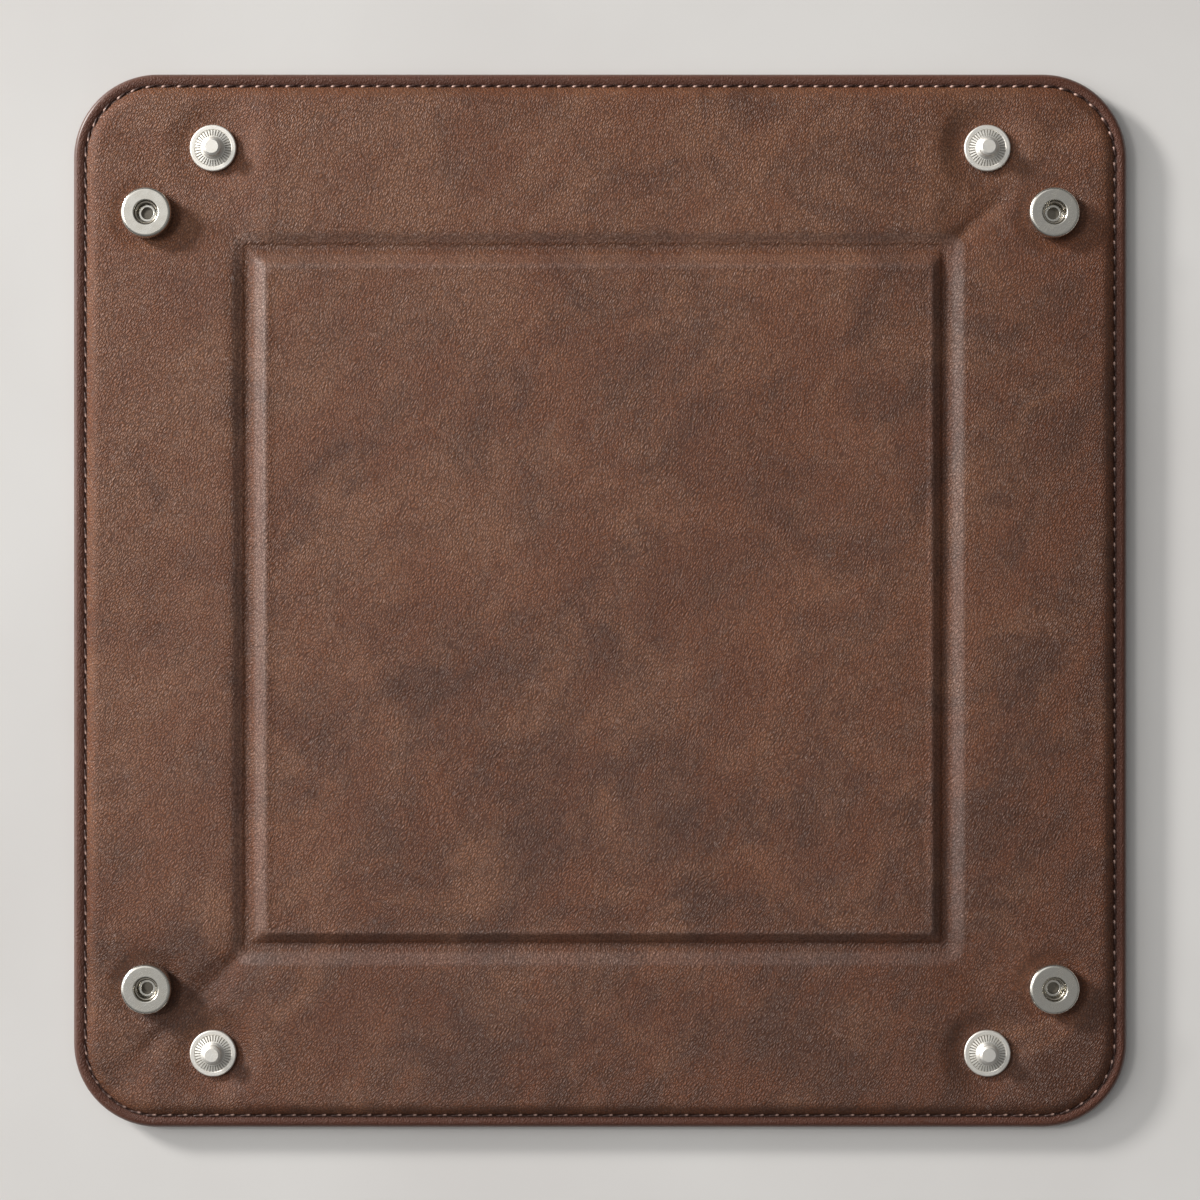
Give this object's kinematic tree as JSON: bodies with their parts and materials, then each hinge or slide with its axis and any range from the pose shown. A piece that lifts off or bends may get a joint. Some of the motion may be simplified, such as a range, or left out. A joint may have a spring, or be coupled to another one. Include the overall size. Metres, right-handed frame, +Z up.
{
  "type": "valet tray",
  "caption": "Flat leatherette valet tray with pressed fold lines and metal snap corners; the sides fold up and the corners snap together to make a shallow square tray.",
  "frame": {"origin": "centre of the tray on the table plane, under the rivet caps", "axes": "+Z up out of the tray's inner face, +X to the right and +Y to the back as the picture shows the flat tray from above"},
  "size_m": [0.2286, 0.2286, 0.0075],
  "materials": {
    "top_leather": "fine-grained mid-brown leatherette, satin",
    "bottom_leather": "fine-grained brown leatherette, satin",
    "board": "grey stiffener board",
    "stud": "nickel-plated brass, satin",
    "eyelet": "nickel-plated brass, satin",
    "socket": "nickel-plated brass, polished",
    "spring": "drawn spring wire",
    "cap": "nickel-plated brass, polished"
  },
  "bodies": {
    "base": {"base_top_leather": "top_leather", "base_board": "board", "base_bottom_leather": "bottom_leather"},
    "front_wall": {"front_wall_top_leather": "top_leather", "front_wall_board": "board", "front_wall_bottom_leather": "bottom_leather"},
    "back_wall": {"back_wall_top_leather": "top_leather", "back_wall_board": "board", "back_wall_bottom_leather": "bottom_leather"},
    "left_wall": {"left_wall_top_leather": "top_leather", "left_wall_board": "board", "left_wall_bottom_leather": "bottom_leather"},
    "right_wall": {"right_wall_top_leather": "top_leather", "right_wall_board": "board", "right_wall_bottom_leather": "bottom_leather"},
    "front_left_stud_lobe": {"front_left_stud_lobe_top_leather": "top_leather", "front_left_stud_lobe_bottom_leather": "bottom_leather", "front_left_stud": "stud", "front_left_eyelet": "eyelet"},
    "front_left_spine": {"front_left_spine_top_leather": "top_leather", "front_left_spine_bottom_leather": "bottom_leather"},
    "front_left_socket_lobe": {"front_left_socket_lobe_top_leather": "top_leather", "front_left_socket_lobe_bottom_leather": "bottom_leather", "front_left_socket": "socket", "front_left_spring": "spring", "front_left_cap": "cap"},
    "front_right_stud_lobe": {"front_right_stud_lobe_top_leather": "top_leather", "front_right_stud_lobe_bottom_leather": "bottom_leather", "front_right_stud": "stud", "front_right_eyelet": "eyelet"},
    "front_right_spine": {"front_right_spine_top_leather": "top_leather", "front_right_spine_bottom_leather": "bottom_leather"},
    "front_right_socket_lobe": {"front_right_socket_lobe_top_leather": "top_leather", "front_right_socket_lobe_bottom_leather": "bottom_leather", "front_right_socket": "socket", "front_right_spring": "spring", "front_right_cap": "cap"},
    "back_left_stud_lobe": {"back_left_stud_lobe_top_leather": "top_leather", "back_left_stud_lobe_bottom_leather": "bottom_leather", "back_left_stud": "stud", "back_left_eyelet": "eyelet"},
    "back_left_spine": {"back_left_spine_top_leather": "top_leather", "back_left_spine_bottom_leather": "bottom_leather"},
    "back_left_socket_lobe": {"back_left_socket_lobe_top_leather": "top_leather", "back_left_socket_lobe_bottom_leather": "bottom_leather", "back_left_socket": "socket", "back_left_spring": "spring", "back_left_cap": "cap"},
    "back_right_stud_lobe": {"back_right_stud_lobe_top_leather": "top_leather", "back_right_stud_lobe_bottom_leather": "bottom_leather", "back_right_stud": "stud", "back_right_eyelet": "eyelet"},
    "back_right_spine": {"back_right_spine_top_leather": "top_leather", "back_right_spine_bottom_leather": "bottom_leather"},
    "back_right_socket_lobe": {"back_right_socket_lobe_top_leather": "top_leather", "back_right_socket_lobe_bottom_leather": "bottom_leather", "back_right_socket": "socket", "back_right_spring": "spring", "back_right_cap": "cap"}
  },
  "joints": [
    {"name": "front_wall_fold", "type": "hinge", "parent": "base", "child": "front_wall", "pos_m": [0, -0.0755, 0.0039], "axis": [-1, 0, 0], "range_deg": [0, 90]},
    {"name": "back_wall_fold", "type": "hinge", "parent": "base", "child": "back_wall", "pos_m": [0, 0.0755, 0.0039], "axis": [1, 0, 0], "range_deg": [0, 90]},
    {"name": "left_wall_fold", "type": "hinge", "parent": "base", "child": "left_wall", "pos_m": [-0.0755, 0, 0.0039], "axis": [0, 1, 0], "range_deg": [0, 90]},
    {"name": "right_wall_fold", "type": "hinge", "parent": "base", "child": "right_wall", "pos_m": [0.0755, 0, 0.0039], "axis": [0, -1, 0], "range_deg": [0, 90]},
    {"name": "front_left_lobe_fold", "type": "hinge", "parent": "front_wall", "child": "front_left_stud_lobe", "pos_m": [-0.07204, -0.0755, 0.0039], "axis": [0, -1, 0], "range_deg": [0, 45]},
    {"name": "front_left_spine_fold", "type": "hinge", "parent": "front_left_stud_lobe", "child": "front_left_spine", "pos_m": [-0.07204, -0.0755, 0.0039], "axis": [0.7071, 0.7071, 0], "range_deg": [0, 90]},
    {"name": "front_left_socket_fold", "type": "hinge", "parent": "front_left_spine", "child": "front_left_socket_lobe", "pos_m": [-0.0755, -0.07204, 0.0039], "axis": [0.7071, 0.7071, 0], "range_deg": [0, 90], "deforming": ["front_left_spring"]},
    {"name": "front_right_lobe_fold", "type": "hinge", "parent": "front_wall", "child": "front_right_stud_lobe", "pos_m": [0.07204, -0.0755, 0.0039], "axis": [0, 1, 0], "range_deg": [0, 45]},
    {"name": "front_right_spine_fold", "type": "hinge", "parent": "front_right_stud_lobe", "child": "front_right_spine", "pos_m": [0.07204, -0.0755, 0.0039], "axis": [0.7071, -0.7071, 0], "range_deg": [0, 90]},
    {"name": "front_right_socket_fold", "type": "hinge", "parent": "front_right_spine", "child": "front_right_socket_lobe", "pos_m": [0.0755, -0.07204, 0.0039], "axis": [0.7071, -0.7071, 0], "range_deg": [0, 90], "deforming": ["front_right_spring"]},
    {"name": "back_left_lobe_fold", "type": "hinge", "parent": "back_wall", "child": "back_left_stud_lobe", "pos_m": [-0.07204, 0.0755, 0.0039], "axis": [0, -1, 0], "range_deg": [0, 45]},
    {"name": "back_left_spine_fold", "type": "hinge", "parent": "back_left_stud_lobe", "child": "back_left_spine", "pos_m": [-0.07204, 0.0755, 0.0039], "axis": [-0.7071, 0.7071, 0], "range_deg": [0, 90]},
    {"name": "back_left_socket_fold", "type": "hinge", "parent": "back_left_spine", "child": "back_left_socket_lobe", "pos_m": [-0.0755, 0.07204, 0.0039], "axis": [-0.7071, 0.7071, 0], "range_deg": [0, 90], "deforming": ["back_left_spring"]},
    {"name": "back_right_lobe_fold", "type": "hinge", "parent": "back_wall", "child": "back_right_stud_lobe", "pos_m": [0.07204, 0.0755, 0.0039], "axis": [0, 1, 0], "range_deg": [0, 45]},
    {"name": "back_right_spine_fold", "type": "hinge", "parent": "back_right_stud_lobe", "child": "back_right_spine", "pos_m": [0.07204, 0.0755, 0.0039], "axis": [-0.7071, -0.7071, 0], "range_deg": [0, 90]},
    {"name": "back_right_socket_fold", "type": "hinge", "parent": "back_right_spine", "child": "back_right_socket_lobe", "pos_m": [0.0755, 0.07204, 0.0039], "axis": [-0.7071, -0.7071, 0], "range_deg": [0, 90], "deforming": ["back_right_spring"]}
  ],
  "couplings": [
    {"joint": "back_wall_fold", "follows": "front_wall_fold", "ratio": 1},
    {"joint": "left_wall_fold", "follows": "front_wall_fold", "ratio": 1},
    {"joint": "right_wall_fold", "follows": "front_wall_fold", "ratio": 1},
    {"joint": "front_left_lobe_fold", "follows": "front_wall_fold", "ratio": 0.5},
    {"joint": "front_left_spine_fold", "follows": "front_wall_fold", "ratio": 1},
    {"joint": "front_left_socket_fold", "follows": "front_wall_fold", "ratio": 1},
    {"joint": "front_right_lobe_fold", "follows": "front_wall_fold", "ratio": 0.5},
    {"joint": "front_right_spine_fold", "follows": "front_wall_fold", "ratio": 1},
    {"joint": "front_right_socket_fold", "follows": "front_wall_fold", "ratio": 1},
    {"joint": "back_left_lobe_fold", "follows": "front_wall_fold", "ratio": 0.5},
    {"joint": "back_left_spine_fold", "follows": "front_wall_fold", "ratio": 1},
    {"joint": "back_left_socket_fold", "follows": "front_wall_fold", "ratio": 1},
    {"joint": "back_right_lobe_fold", "follows": "front_wall_fold", "ratio": 0.5},
    {"joint": "back_right_spine_fold", "follows": "front_wall_fold", "ratio": 1},
    {"joint": "back_right_socket_fold", "follows": "front_wall_fold", "ratio": 1}
  ]
}
